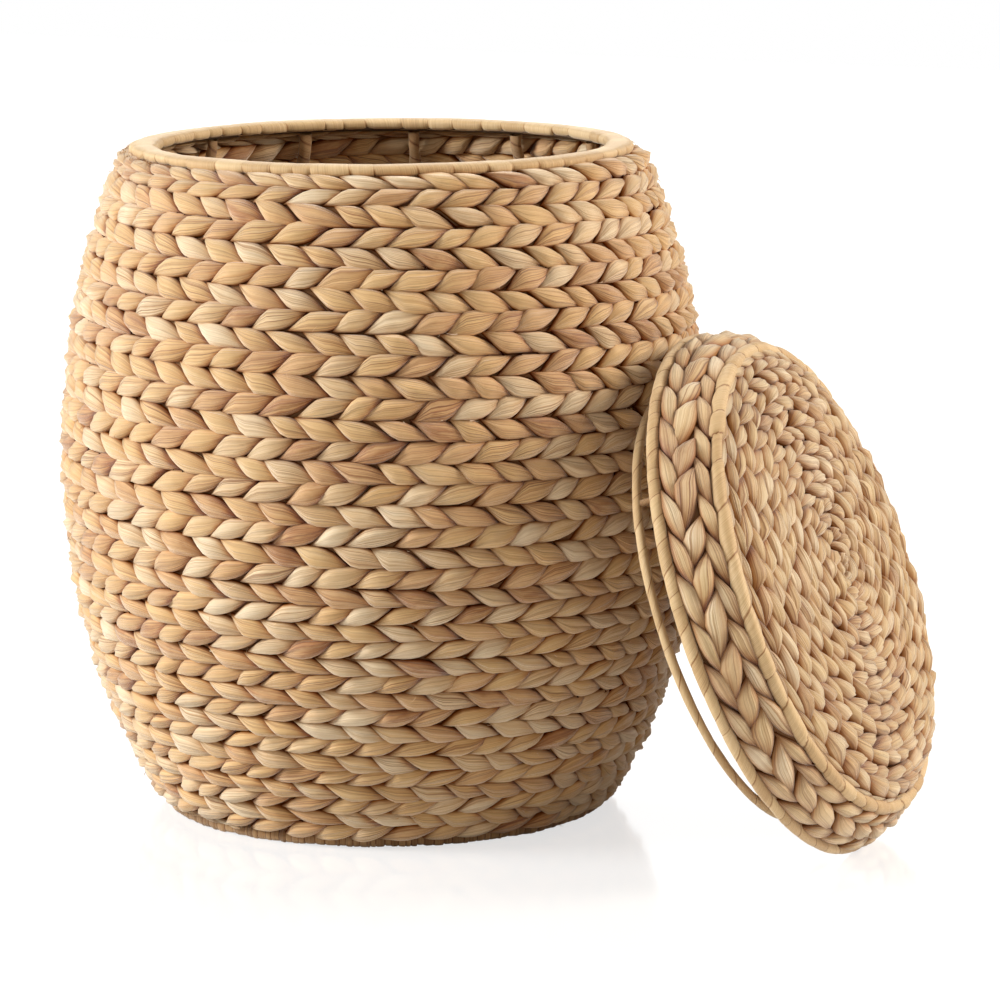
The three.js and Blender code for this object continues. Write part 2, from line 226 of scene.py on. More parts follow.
class Winding:
    """A plait wound turn beside turn. edge(turn) is where its trailing edge lies along the surface,
    reach how far the surface goes, tuck how far it runs under the ring at its start, radius(along)
    the radius it has there, pitch(radius) the spacing of its leaves, and place(along, lift, angle)
    the point there. A phase counts its leaves from its start."""

    FIRST_TURN = -0.25
    MOST_TURNS = 40
    TURN_STEPS = 96
    LEAST_WIDTH = 0.002

    def __init__(self, edge, reach, tuck, width, radius, pitch, place):
        self.edge = edge
        self.reach = reach
        self.tuck = tuck
        self.width = width
        self.place = place
        turns = np.arange(self.FIRST_TURN, self.MOST_TURNS, 1 / self.TURN_STEPS)
        start, end = self.limits(turns)
        self.turns = turns[(end - start > self.LEAST_WIDTH) & (start < reach - self.LEAST_WIDTH)]
        start, end = self.limits(self.turns)
        around = np.maximum(radius((start + end) / 2), COIL_EYE)
        step = 2 * math.pi * around / pitch(around) / self.TURN_STEPS
        self.phases = np.concatenate([[0], np.cumsum(step[1:])])
        self.pitches = pitch(around)
        self.length = self.phases[-1]

    def limits(self, turn):
        """Where the plait's two edges lie along the surface."""
        start = np.maximum(self.edge(turn - 1) + LOOP_GAP, -self.tuck)
        return start, np.minimum(self.edge(turn), self.reach)

    def pitch(self, phase):
        return np.interp(phase, self.phases, self.pitches)

    def points(self, phase, across, lift):
        """Points at a phase, a share across the plait from -0.5 to 0.5, and a lift off its middle.
        The plait is thinner where it is narrower than its full width."""
        turn = np.interp(phase, self.phases, self.turns)
        start, end = self.limits(turn)
        narrow = np.minimum((end - start) / self.width, 1)
        along = (start + end) / 2 + across * (end - start)
        return self.place(along, lift * narrow**0.3, turn * 2 * math.pi)


class Loop:
    """A plait that closes on itself after a whole number of leaves."""

    def __init__(self, count, radius, width, place):
        self.length = count
        self.width = width
        self.spacing = 2 * math.pi * radius / count
        self.place = place

    def pitch(self, phase):
        return self.spacing + 0 * phase

    def points(self, phase, across, lift):
        return self.place(across, lift, phase / self.length * 2 * math.pi)


def place_on_wall(along, lift, angle):
    depth = WALL_THICKNESS / 2 - lift + UNDER_RIM_SLOPE * np.maximum(-along, 0)
    radius, height = wall_point(along, depth)
    return polar(radius, angle + PLAIT_START, height)


def place_on_lid_top(along, lift, angle):
    radius = np.maximum(TOP_PLAIT_RADIUS - along, LEAST_RADIUS)
    dome = TOP_PLAIT_RISE * (1 - (radius / TOP_PLAIT_RADIUS) ** 2)
    free = np.clip(0.5 + along / LOW_EDGE, 0.15, 1)
    return in_lid(polar(radius, -angle, TOP_PLAIT_MIDDLE + dome + lift * free))


def place_on_base(along, lift, angle):
    radius = np.maximum(BASE_PLAIT_RADIUS - along, LEAST_RADIUS)
    middle = FRAME_BAR_HEIGHT + SEAT_GAP + BASE_PLAIT_THICKNESS / 2
    return polar(radius, -angle, middle + lift)


BAND_SLOPE = math.hypot(BAND_FLARE, BAND_RISE)
BAND_WIDTH = BAND_SLOPE - 2 * LID_RING_HALF


def place_on_band(across, lift, angle):
    along = LID_RING_HALF + (across + 0.5) * BAND_WIDTH
    outward, downward = BAND_FLARE / BAND_SLOPE, BAND_RISE / BAND_SLOPE
    radius = CROWN_RADIUS + along * outward + lift * downward
    return in_lid(polar(radius, angle, BAND_RISE - along * downward + lift * outward))


def closer_inward(full, share, reach):
    """Pitch of leaves by radius: full beyond a reach, and down to a share of that at the middle."""
    return lambda radius: full * np.clip(share + (1 - share) * radius / reach, share, 1)


wall_course = Winding(
    edge=wall_edge,
    reach=WALL_BOTTOM,
    tuck=0.0068,
    width=UPPER_PLAIT_WIDTH,
    radius=lambda along: wall_point(along, 0)[0],
    pitch=lambda radius: 0.0262 + 0 * radius,
    place=place_on_wall,
)
lid_top_course = Winding(
    edge=lambda turn: turn * TOP_PLAIT_WIDTH,
    reach=TOP_PLAIT_RADIUS - COIL_EYE,
    tuck=0.005,
    width=TOP_PLAIT_WIDTH,
    radius=lambda along: TOP_PLAIT_RADIUS - along,
    pitch=closer_inward(0.0230, 0.55, 0.07),
    place=place_on_lid_top,
)
base_course = Winding(
    edge=lambda turn: turn * BASE_PLAIT_WIDTH,
    reach=BASE_PLAIT_RADIUS - COIL_EYE,
    tuck=0.009,
    width=BASE_PLAIT_WIDTH,
    radius=lambda along: BASE_PLAIT_RADIUS - along,
    pitch=closer_inward(0.030, 0.5, 0.08),
    place=place_on_base,
)
band_course = Loop(
    count=38,
    radius=SKIRT_RADIUS - BAND_FLARE / 2,
    width=BAND_WIDTH,
    place=place_on_band,
)


# Leaves: the visible stretch of each strand of a plait

LAP_SHADE = 0.0036  # how far the shade of the leaf that laps over reaches
KNEE = 0.43  # share of a leaf's length over which it widens to the plait's spine
SHOULDER = 0.35  # share of it at which it begins to leave the outer edge
UNEVEN_START = 0.11  # spread of where leaves begin, in pitches
UNEVEN_LENGTH = 0.08  # spread of how far they run on under the next, as a share
UNEVEN_HEIGHT = 0.08  # spread of how high they stand, as a share
UNEVEN_OUTER = 0.04  # spread of their outer edge, as a share
UNEVEN_INNER = 0.025  # spread of their inner edge, in shares across the plait
UNEVEN_KNEE = 0.04  # spread of KNEE
UNEVEN_SHOULDER = 0.05  # spread of SHOULDER
ROLL = 0.09  # spread of how much one flank is raised and the other lowered
TAIL_START = 0.3  # share of a leaf's length from which its tail sinks
PLEATS = ((0.07, 3.5, 0), (0.075, 8, 2.5), (0.035, 2, 9))  # depth, and closeness across and along


def leaf_edges(t, knee, shoulder):
    """The two edges of a leaf as shares of its column, at a share t of its length. It begins in a
    point at the column's outer edge and ends in one at its inner edge."""
    angle = np.clip(t / knee, 0, 1) * math.pi / 2
    low = 1 - 0.6 * np.sin(angle) - 0.4 * np.sin(angle) ** 2
    high = np.cos(np.clip((t - shoulder) / (1 - shoulder), 0, 1) * math.pi / 2) ** 0.82
    return low, high


def leaves(course, columns, length, rise, drop, first, last, steps, side):
    """Leaves of one face of a plait, from a first phase to a last. Each column is (outer, inner,
    offset, height): the shares across the plait between which its leaves lie, how far along the
    pitch they start, and the share of rise to which they stand. length is in pitches, drop is how
    far their tails sink, and side is 1 for the outer face and -1 for the inner one. In the arrays,
    t runs from a leaf's head to its tail, and arch over it from flank to flank."""
    rows, ribs = steps
    t = (0.5 - 0.5 * np.cos(np.linspace(0, math.pi, rows)))[None, :, None]
    arch = np.linspace(-math.pi / 2, math.pi / 2, ribs)[None, None, :]
    flank = np.sin(arch)
    points, tones, rises, tails, shades_under_laps, uvs = [], [], [], [], [], []
    for outer, inner, offset, height in columns:
        phase = np.arange(math.floor(first), math.ceil(last)) + offset
        phase = phase[(phase >= first) & (phase < last)]
        count = len(phase)

        def vary(spread):
            return spread * draws(count, 2.2)[:, None, None]

        pitch = course.pitch(phase)[:, None, None]
        # The ends stay in place, so that the next piece can follow
        early = UNEVEN_START * draws(count + 1, 1.7)[:, None, None]
        early[[0, -1]] = 0
        start = phase[:, None, None] - early[:-1]
        following = phase[:, None, None] + 1 - early[1:]
        long = following - start + (length - 1) * (1 + vary(UNEVEN_LENGTH))
        outer_edge = outer * (1 + vary(UNEVEN_OUTER))
        inner_edge = inner + vary(UNEVEN_INNER)
        low, high = leaf_edges(t, KNEE + vary(UNEVEN_KNEE), SHOULDER + vary(UNEVEN_SHOULDER))
        wide = high - low
        share = low + wide * (0.5 + 0.5 * flank)
        across = inner_edge + (outer_edge - inner_edge) * share
        along = start + long * t + 0 * share
        # Painted shade: a leaf is darkened near the edge of the next leaf, where that one laps over
        # it
        onward = (along - following) / length
        next_low, _ = leaf_edges(np.clip(onward, 0, 1), KNEE, SHOULDER)
        gap_across = np.maximum(next_low - share, 0) * abs(outer - inner) * course.width
        gap_along = np.maximum(-onward, 0) * length * pitch
        shade_under_lap = 1 - np.clip(np.hypot(gap_across, gap_along) / LAP_SHADE, 0, 1)
        folds = rng.uniform(0, 2 * math.pi, (len(PLEATS), count))[:, :, None, None]
        pleated = 1
        for (depth, close_across, close_along), fold in zip(PLEATS, folds):
            pleated = pleated + depth * np.cos(close_across * arch + close_along * t + fold)
        dome = np.clip(wide, 0, 1) ** 0.55 * np.abs(np.cos(arch)) ** 0.78 * pleated
        roll = flank * wide * vary(ROLL)
        tail = np.clip((t - TAIL_START) / (1 - TAIL_START), 0, 1)
        lift = height * rise * (1 + vary(UNEVEN_HEIGHT)) * (dome + roll) - drop * tail**1.5
        points.append(course.points(along, across, side * lift).reshape(-1, 3))
        tones.append(np.broadcast_to(rng.random(count)[:, None, None], dome.shape).ravel())
        rises.append(dome.ravel())
        tails.append(np.broadcast_to(t, dome.shape).ravel())
        shades_under_laps.append(shade_under_lap.ravel())
        shift = rng.random((count, 2)) * 40
        lengthwise = shift[:, 0, None, None] + t * long * pitch / FIBRE_UNIT + 0 * flank
        crosswise = shift[:, 1, None, None] + flank + 0 * t
        uvs.append(np.stack([lengthwise, crosswise], axis=-1).reshape(-1, 2))
    one = grid_faces(rows, ribs)
    faces = []
    first_point = 0
    for (outer, inner, _, _), tone in zip(columns, tones):
        quads = one[:, ::-1] if side * (outer - inner) < 0 else one
        starts = np.arange(0, len(tone), rows * ribs)[:, None, None] + first_point
        faces.append((quads[None, :, :] + starts).reshape(-1, 4))
        first_point += len(tone)
    layers = {
        "tone": np.concatenate(tones),
        "rise": np.concatenate(rises),
        "tail": np.concatenate(tails),
        "shade_under_lap": np.concatenate(shades_under_laps),
    }
    return np.concatenate(points), np.concatenate(faces), layers, np.concatenate(uvs)


# Cores: the middle of a plait, painted dark brown as shade, seen only through the gaps between its
# leaves

CORE_REACH = 0.56  # how far a core goes to each side, in widths of its plait


def core(course, rows, steps):
    """A surface through the middle of a plait."""
    phase = np.linspace(0, course.length, steps)[:, None]
    across = np.linspace(-CORE_REACH, CORE_REACH, rows)[None, :]
    points = course.points(phase + 0 * across, across + 0 * phase, 0 * phase * across)
    points = points.reshape(-1, 3)
    return points, grid_faces(steps, rows), {"tone": np.zeros(len(points))}, points[:, :2]


# Loose fibres: frayed ends that stand out of a plait's edges

FIBRE_RADIUS = 0.00035


def loose_ends(course, phase, across, lift, longest, steps=6, sides=4):
    """Short curled fibres, rooted at phases and shares across a plait, at a lift off its middle.
    Their headings and bends are drawn along, across and out of the plait."""
    count = len(phase)
    root = course.points(phase, across, lift)
    ahead = course.points(phase + 0.1, across, lift) - root
    out = course.points(phase, across, lift + 0.005) - root
    ahead /= np.linalg.norm(ahead, axis=1, keepdims=True)
    out /= np.linalg.norm(out, axis=1, keepdims=True)
    aside = np.cross(out, ahead)
    ways = rng.uniform(-1, 1, (3, count, 1))
    heading = ahead * ways[0] + aside * ways[1] * 0.6 + out * (0.45 + 0.25 * ways[2])
    bend = (ahead * ways[1] - aside * ways[2] - 0.5 * out) * 0.7
    length = longest * rng.uniform(0.4, 1, (count, 1, 1))
    share = np.linspace(0, 1, steps)[None, :, None]
    middle = root[:, None, :] + length * (heading[:, None, :] * share + bend[:, None, :] * share**2)
    angle = np.linspace(0, 2 * math.pi, sides)[None, None, :, None]
    around = out[:, None, None, :] * np.cos(angle) + aside[:, None, None, :] * np.sin(angle)
    points = middle[:, :, None, :] + FIBRE_RADIUS * (1.05 - share[..., None]) * around
    each = steps * sides
    faces = grid_faces(steps, sides)[None, :, :] + each * np.arange(count)[:, None, None]
    tone = np.repeat(rng.uniform(0.3, 1, count), each)
    layers = {"tone": tone, "rise": 1 + 0 * tone, "tail": 0.3 + 0 * tone, "shade_under_lap": 0 * tone}
    uv = np.stack([tone * 9, tone * 7], axis=-1)
    return points.reshape(-1, 3), faces.reshape(-1, 4), layers, uv


# Wrapped tubes: rings, stakes and posts bound with split stems

UNEVEN_WRAPS = 0.36  # spread of the wraps' widths, as a share
UNEVEN_BULGE = 0.35  # spread of how far they stand out, as a share of the bulge
UNEVEN_GIRTH = 0.05  # spread of the tube's thickness along it, as a share


def wrapped(
    path,
    side,
    up,
    half_side,
    half_up,
    wrap_width,
    bulge,
    skew,
    square,
    around=16,
    per_wrap=8,
    seam=1.25 * math.pi,
    even_above=0.0,
):
    """A tube along path, given as a function of a share from 0 to 1, whose side and up directions
    are functions of the same share. It is bound in wraps of about wrap_width, which start at the
    angle seam of its section and go skew of a wrap along in a turn. Its section is an ellipse, or
    squarer where square is over 2. even_above is how much of their unevenness wraps lose on top."""
    trial = path(np.linspace(0, 1, 400))
    total = np.linalg.norm(np.diff(trial, axis=0), axis=1).sum()
    wraps = max(2, round(total / wrap_width))
    rows = wraps * per_wrap + 1
    place = np.arange(rows) / per_wrap
    widths = 1 + UNEVEN_WRAPS * draws(wraps, 1.8)
    edges = np.concatenate([[0], np.cumsum(widths)])
    edges *= wraps / edges[-1]
    section = seam + np.linspace(0, 2 * math.pi, around + 1)[None, :]
    winding = place[:, None] + skew * (section - seam) / (2 * math.pi)
    number = np.floor(winding)
    share = winding - number
    index = number.astype(int) % wraps
    cos, sin = np.cos(section), np.sin(section)
    uneven = 1 - even_above * np.clip(0.2 + 0.8 * sin, 0, 1)
    swell = 1 - uneven * np.abs(2 * share - 1) ** 5
    bulges = uneven * bulge * UNEVEN_BULGE * rng.standard_normal(wraps)[index]
    size = 1 + bulge * (swell - 0.8) + bulges
    girths = np.interp(place, np.arange(wraps), rng.standard_normal(wraps), period=wraps)
    size = size + UNEVEN_GIRTH * girths[:, None]
    along = np.interp(place, np.arange(wraps + 1), edges) / wraps
    across = half_side * np.sign(cos) * np.abs(cos) ** (2 / square) * size
    above = half_up * np.sign(sin) * np.abs(sin) ** (2 / square) * size
    points = path(along)[:, None, :] + across[..., None] * side(along)[:, None, :]
    points = points + above[..., None] * up(along)[:, None, :]
    tone = rng.random(wraps)[index]
    girth = section * (half_side + half_up) / 2 / FIBRE_UNIT
    uv = np.stack([girth + 3.7 * index, winding * wrap_width / WRAP_UNIT], axis=-1)
    faces = grid_faces(rows, around + 1)
    even = 1 - uneven + 0 * winding
    layers = {"tone": tone.ravel(), "wrap": winding.ravel(), "even": even.ravel()}
    return points.reshape(-1, 3), faces, layers, uv.reshape(-1, 2)


def ring_path(radius, height, place=lambda points: points):
    """Path, side and up functions of a level ring, in the basket's or the lid's frame."""

    def centre(share):
        return place(polar(radius, share * 2 * math.pi, height))

    def side(share):
        return place(polar(radius + 1, share * 2 * math.pi, height)) - centre(share)

    def up(share):
        return place(polar(radius, share * 2 * math.pi, height + 1)) - centre(share)

    return centre, side, up


# Materials


def new_material(name):
    """A material made of nodes, with its nodes, its links and its shader."""
    material = bpy.data.materials.new(name)
    material.use_nodes = True
    nodes, links = material.node_tree.nodes, material.node_tree.links
    return material, nodes, links, nodes["Principled BSDF"]


def node(nodes, kind, **settings):
    """A new node, with its properties or inputs set by their names."""
    made = nodes.new(kind)
    for key, value in settings.items():
        if key in made.bl_rna.properties:
            setattr(made, key, value)
        else:
            made.inputs[key].default_value = value
    return made


def feed(links, socket, value):
    """Give a socket what another one gives out, a colour or a number."""
    if isinstance(value, bpy.types.NodeSocket):
        links.new(value, socket)
    elif isinstance(value, tuple):
        socket.default_value = (*value, 1)
    else:
        socket.default_value = value


def ramp(nodes, links, factor, stops):
    """The colour that a factor has on a ramp of stops, each a position and a colour."""
    made = nodes.new("ShaderNodeValToRGB")
    elements = made.color_ramp.elements
    while len(elements) < len(stops):
        elements.new(0.5)
    for element, (position, color) in zip(elements, stops):
        element.position = position
        element.color = (*color, 1)
    links.new(factor, made.inputs["Fac"])
    return made.outputs["Color"]


def mix(nodes, links, kind, factor, a, b):
    """The mix of two colours by a factor."""
    made = nodes.new("ShaderNodeMix")
    made.data_type = "RGBA"
    made.blend_type = kind
    for socket, value in ((made.inputs[0], factor), (made.inputs[6], a), (made.inputs[7], b)):
        feed(links, socket, value)
    return made.outputs[2]


def math_node(nodes, links, kind, a, b=0.0, c=0.0, clamp=False):
    """What a math node makes of up to three numbers."""
    made = nodes.new("ShaderNodeMath")
    made.operation = kind
    made.use_clamp = clamp
    for socket, value in zip(made.inputs, (a, b, c)):
        feed(links, socket, value)
    return made.outputs[0]


BLOTCH_TONE = 0.42  # how far the tone goes between the lowest and the highest blotches
LEAST_LINED = 0.3  # how deeply the least lined leaves are lined, as a share of the most
FINE_RELIEF = 0.45  # relief of the fine lines, as a share of the broad ones'
CREASE_SHADE_RISE = 0.08  # share of a leaf's rise below which its flanks get the darkest painted crease shade


def fibre_material(name, tones, roughness, line_scale=17.0, faint=0.0, crease_shade=1.8, wraps=None):
    """Dried plant stem. tones colours each leaf or wrap by its tone, and faint is how much of their
    depth its lines lose. Some leaves are lined more deeply than others. Leaves darken at their
    tails, partly as the stem's own browner tips and partly as painted shade where they sink under
    the next leaf; they get painted shade where the next one laps over and, further in with a
    greater crease_shade, painted crease shade at their flanks. Wraps get painted shade at their
    edges, in the grooves between them, over a share wraps of their width. Flanks that lie deep
    between two leaves have no sheen."""
    material, nodes, links, shader = new_material(name)
    uv = node(nodes, "ShaderNodeUVMap", uv_map="fibre")

    def attribute(label):
        return node(nodes, "ShaderNodeAttribute", attribute_name=label).outputs["Fac"]

    def darkened(color, factor, stops):
        return mix(nodes, links, "MULTIPLY", 1.0, color, ramp(nodes, links, factor, stops))

    def noise(scale, detail, harshness):
        mapping = node(nodes, "ShaderNodeMapping")
        mapping.inputs["Scale"].default_value = scale
        links.new(uv.outputs[0], mapping.inputs["Vector"])
        made = node(nodes, "ShaderNodeTexNoise", Scale=1.0, Detail=detail, Roughness=harshness)
        links.new(mapping.outputs[0], made.inputs["Vector"])
        return made.outputs["Fac"]

    lines = noise((0.08, line_scale * 0.5, 1), 2.5, 0.65)
    fine = noise((0.14, line_scale * 1.6, 1), 2.0, 0.6)
    blotches = noise((0.8, 1.6, 1), 3.0, 0.55)
    wander = math_node(nodes, links, "MULTIPLY_ADD", blotches, BLOTCH_TONE, -BLOTCH_TONE / 2)
    toned = math_node(nodes, links, "ADD", attribute("tone"), wander, clamp=True)
    palette = ramp(nodes, links, toned, tones)
    streaks = ramp(
        nodes,
        links,
        lines,
        [
            (0.36, (0.38, 0.22, 0.12)),
            (0.46, (0.76, 0.64, 0.51)),
            (0.55, (1.0, 1.0, 1.0)),
        ],
    )
    # A second draw for each leaf or wrap, taken from the later digits of its tone
    multiple = math_node(nodes, links, "MULTIPLY", attribute("tone"), 9.7)
    drawn = math_node(nodes, links, "FRACT", multiple)
    least = LEAST_LINED * (1 - faint)
    more = (1 - LEAST_LINED) * (1 - faint)
    depth = math_node(nodes, links, "MULTIPLY_ADD", drawn, more, least)
    color = mix(nodes, links, "MULTIPLY", depth, palette, streaks)
    color = darkened(color, fine, [(0.36, (0.86, 0.77, 0.66)), (0.56, (1.0, 1.0, 1.0))])
    if wraps is None:
        # Ends darken: partly the stem's own browner tips, partly painted shade where they sink
        # under the neighbouring leaves
        color = darkened(
            color,
            attribute("tail"),
            [
                (0.03, (0.84, 0.74, 0.64)),
                (0.14, (1.0, 1.0, 1.0)),
                (0.50, (1.0, 0.99, 0.97)),
                (0.72, (0.90, 0.80, 0.67)),
                (0.92, (0.67, 0.47, 0.29)),
            ],
        )
        # Painted shade where the next leaf laps over
        color = darkened(
            color,
            attribute("shade_under_lap"),
            [
                (0.0, (1.0, 1.0, 1.0)),
                (0.6, (0.84, 0.68, 0.51)),
                (1.0, (0.50, 0.27, 0.12)),
            ],
        )
        # Painted shade in the creases: flanks darken as they sink low between leaves
        color = darkened(
            color,
            attribute("rise"),
            [
                (CREASE_SHADE_RISE, (0.26, 0.110, 0.036)),
                (CREASE_SHADE_RISE + 0.14 * crease_shade, (0.58, 0.36, 0.19)),
                (CREASE_SHADE_RISE + 0.27 * crease_shade, (1.0, 1.0, 1.0)),
            ],
        )
    else:
        # Painted shade in the grooves between wraps, less where the wraps lie even on top
        part = math_node(nodes, links, "FRACT", attribute("wrap"))
        from_middle = math_node(nodes, links, "SUBTRACT", part, 0.5)
        off_middle = math_node(nodes, links, "ABSOLUTE", from_middle)
        to_edge = math_node(nodes, links, "SUBTRACT", 0.5, off_middle)
        edge_shares = math_node(nodes, links, "DIVIDE", to_edge, wraps)
        reach = math_node(nodes, links, "MULTIPLY_ADD", attribute("even"), 0.7, edge_shares)
        color = darkened(
            color,
            reach,
            [
                (0.0, (0.32, 0.20, 0.12)),
                (0.45, (0.68, 0.53, 0.39)),
                (1.0, (1.0, 1.0, 1.0)),
            ],
        )
    links.new(color, shader.inputs["Base Color"])
    shader.inputs["Roughness"].default_value = roughness
    if wraps is None:
        open_share = node(nodes, "ShaderNodeMapRange")
        open_share.inputs["From Min"].default_value = 0.2
        open_share.inputs["From Max"].default_value = 0.7
        links.new(attribute("rise"), open_share.inputs["Value"])
        opened = open_share.outputs["Result"]
        specular = math_node(nodes, links, "MULTIPLY", opened, 0.35)
        sheen = math_node(nodes, links, "MULTIPLY", opened, 0.8)
        links.new(specular, shader.inputs["Specular IOR Level"])
        links.new(sheen, shader.inputs["Sheen Weight"])
    else:
        shader.inputs["Specular IOR Level"].default_value = 0.3
        shader.inputs["Sheen Weight"].default_value = 0.4
    shader.inputs["Sheen Roughness"].default_value = 0.5
    shader.inputs["Sheen Tint"].default_value = (1.0, 0.92, 0.80, 1)

    relief = node(nodes, "ShaderNodeBump", Strength=0.9 * (1 - faint), Distance=0.0011)
    height = math_node(nodes, links, "MULTIPLY_ADD", fine, FINE_RELIEF, lines)
    links.new(height, relief.inputs["Height"])
    links.new(relief.outputs["Normal"], shader.inputs["Normal"])
    return material


def plain_material(name, color, roughness, metallic=0.0):
    """One colour with a fine grain."""
    material, nodes, links, shader = new_material(name)
    grain = node(nodes, "ShaderNodeTexNoise", Scale=900.0, Detail=3.0)
    darker = tuple(0.6 * c for c in color)
    shades = ramp(nodes, links, grain.outputs["Fac"], [(0.3, darker), (0.7, color)])
    links.new(shades, shader.inputs["Base Color"])
    shader.inputs["Roughness"].default_value = roughness
    shader.inputs["Metallic"].default_value = metallic
    relief = node(nodes, "ShaderNodeBump", Strength=0.3, Distance=0.0004)
    links.new(grain.outputs["Fac"], relief.inputs["Height"])
    links.new(relief.outputs["Normal"], shader.inputs["Normal"])
    return material


plait_fibre = fibre_material(
    "plait_fibre",
    [
        (0.00, (0.83, 0.67, 0.46)),
        (0.22, (0.77, 0.56, 0.33)),
        (0.44, (0.74, 0.49, 0.225)),
        (0.70, (0.73, 0.47, 0.21)),
        (0.86, (0.69, 0.42, 0.20)),
        (0.95, (0.61, 0.35, 0.15)),
        (1.00, (0.47, 0.22, 0.08)),
    ],
    roughness=0.48,
)
lid_fibre = fibre_material(
    "lid_fibre",
    [
        (0.00, (0.82, 0.68, 0.49)),
        (0.20, (0.76, 0.60, 0.39)),
        (0.50, (0.72, 0.54, 0.30)),
        (0.82, (0.69, 0.49, 0.27)),
        (0.94, (0.62, 0.42, 0.23)),
        (1.00, (0.48, 0.29, 0.14)),
    ],
    roughness=0.48,
    line_scale=12.0,
    # A wider painted crease shade on the lid's smaller leaves
    crease_shade=3.1,
)
binding_fibre = fibre_material(
    "binding_fibre",
    [(0.0, (0.72, 0.53, 0.30)), (0.5, (0.65, 0.46, 0.24)), (1.0, (0.56, 0.37, 0.18))],
    roughness=0.50,
    line_scale=30.0,
    faint=0.55,
    wraps=0.04,
)
stake_fibre = fibre_material(
    "stake_fibre",
    [(0.0, (0.48, 0.29, 0.13)), (0.5, (0.38, 0.22, 0.095)), (1.0, (0.26, 0.14, 0.055))],
    roughness=0.65,
    line_scale=26.0,
    faint=0.3,
    wraps=0.10,
)
# The cores' dark brown is painted shade: inside a plait lies the same stem, in shade
painted_shade_core = plain_material("painted_shade_core", (0.26, 0.115, 0.040), roughness=0.9)
wire_brown = plain_material("wire_brown", (0.11, 0.065, 0.035), roughness=0.5, metallic=0.5)
for name in ("rim_hoop", "base_cross", "lid_cross"):
    for material_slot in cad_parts[name].material_slots:
        material_slot.material = wire_brown


def add_leaves(names, course, columns, leaf, steps, side, material, body, slot, *replaced):
    """One face of a plait, as pieces of equal length. Only the first replaces solids."""
    stretch = course.length / len(names)
    for i, name in enumerate(names):
        made = leaves(
            course,
            columns,
            **leaf,
            first=stretch * i,
            last=stretch * (i + 1),
            steps=steps,
            side=side,
        )
        add(name, made, material, body, slot, *(replaced if i == 0 else ()))


def add_core(name, course, rows, steps, body, slot):
    add(name, core(course, rows, steps), painted_shade_core, body, slot)


# Basket

CHEVRON = [(-0.54, 0.04, 0.0, 1.0), (0.54, -0.04, 0.5, 1.0)]
WALL_LEAF = {"length": 1.70, "rise": 0.0093, "drop": 0.0034}
for label, pieces, steps, side, replaced in (
    ("outer", 3, (14, 13), 1, ["side_plait"]),
    ("inner", 2, (9, 7), -1, []),
):
    add_leaves(
        [f"side_plait_{label}_{i + 1}" for i in range(pieces)],
        wall_course,
        CHEVRON,
        WALL_LEAF,
        steps,
        side,
        plait_fibre,
        "basket",
        "plait",
        *replaced,
    )
add_core("side_plait_core", wall_course, rows=3, steps=1200, body="basket", slot="plait")

LOOSE_ENDS = 220
FRAYED_ENDS = 46
FRAYED_TURNS = (0.225, 0.33)  # where the first row is frayed, at the left of the photograph
scattered = rng.uniform(1, wall_course.length - 2, LOOSE_ENDS)
frayed = np.interp(rng.uniform(*FRAYED_TURNS, FRAYED_ENDS), wall_course.turns, wall_course.phases)
scattered_across = rng.choice([-0.5, 0.5], LOOSE_ENDS)
frayed_across = rng.uniform(-0.46, -0.30, FRAYED_ENDS)
add(
    "side_plait_loose_ends",
    loose_ends(
        wall_course,
        np.concatenate([scattered, frayed]),
        np.concatenate([scattered_across, frayed_across]),
        lift=0.0085,
        longest=0.008,
    ),
    plait_fibre,
    "basket",
    "plait",
)

add(
    "rim_wrap",
    wrapped(
        *ring_path(RIM_RADIUS, BASKET_HEIGHT - RIM_HEIGHT / 2 + RIM_WRAP_RAISED),
        half_side=RIM_WIDTH / 2,
        half_up=RIM_HEIGHT / 2 - RIM_WRAP_THINNED,
        wrap_width=0.022,
        bulge=0.20,
        skew=0.25,
        square=2.8,
        around=28,
        per_wrap=16,
        even_above=0.9,
    ),
    binding_fibre,
    "basket",
    "binding",
    "rim_binding",
)
add(
    "base_ring_wrap",
    wrapped(
        *ring_path(BASE_RING_RADIUS, BASE_RING_HALF),
        half_side=BASE_RING_HALF,
        half_up=BASE_RING_HALF,
        wrap_width=0.0052,
        bulge=0.14,
        skew=0,
        square=2.4,
        around=14,
        per_wrap=6,
    ),
    stake_fibre,
    "basket",
    "stake_wrap",
    "base_ring",
)

STAKE_TOP_SHARE = 0.016  # of a stake's length, that stands straight up into the rim
STAKE_REACH = BASE_RING_ALONG - 0.001  # how far down the wall the rest of it goes


def stake_path(angle):
    """Path, side and up functions of a stake, from the rim down to the base ring."""

    def middle(share):
        along = (share - STAKE_TOP_SHARE) / (1 - STAKE_TOP_SHARE) * STAKE_REACH
        depth = WALL_THICKNESS + SEAT_GAP + STAKE_DEPTH / 2
        radius, height = wall_point(np.maximum(along, 0), depth)
        foot = BASE_RING_RADIUS - BASE_RING_HALF - STAKE_DEPTH / 2
        top = np.clip(1 - share / STAKE_TOP_SHARE, 0, 1)
        height = height + top * (WALL_TOP - height)
        return np.maximum(radius * FLAT_SHARE, foot), np.maximum(height, STAKE_DEPTH / 2)

    def centre(share):
        radius, height = middle(share)
        return polar(radius, angle + 0 * share, height)

    def side(share):
        return np.broadcast_to([-math.sin(angle), math.cos(angle), 0], (len(share), 3))

    def up(share):
        lean = wall_lean(middle(share)[1])
        out = np.cos(lean)
        return np.stack([out * math.cos(angle), out * math.sin(angle), -np.sin(lean)], axis=-1)

    return centre, side, up


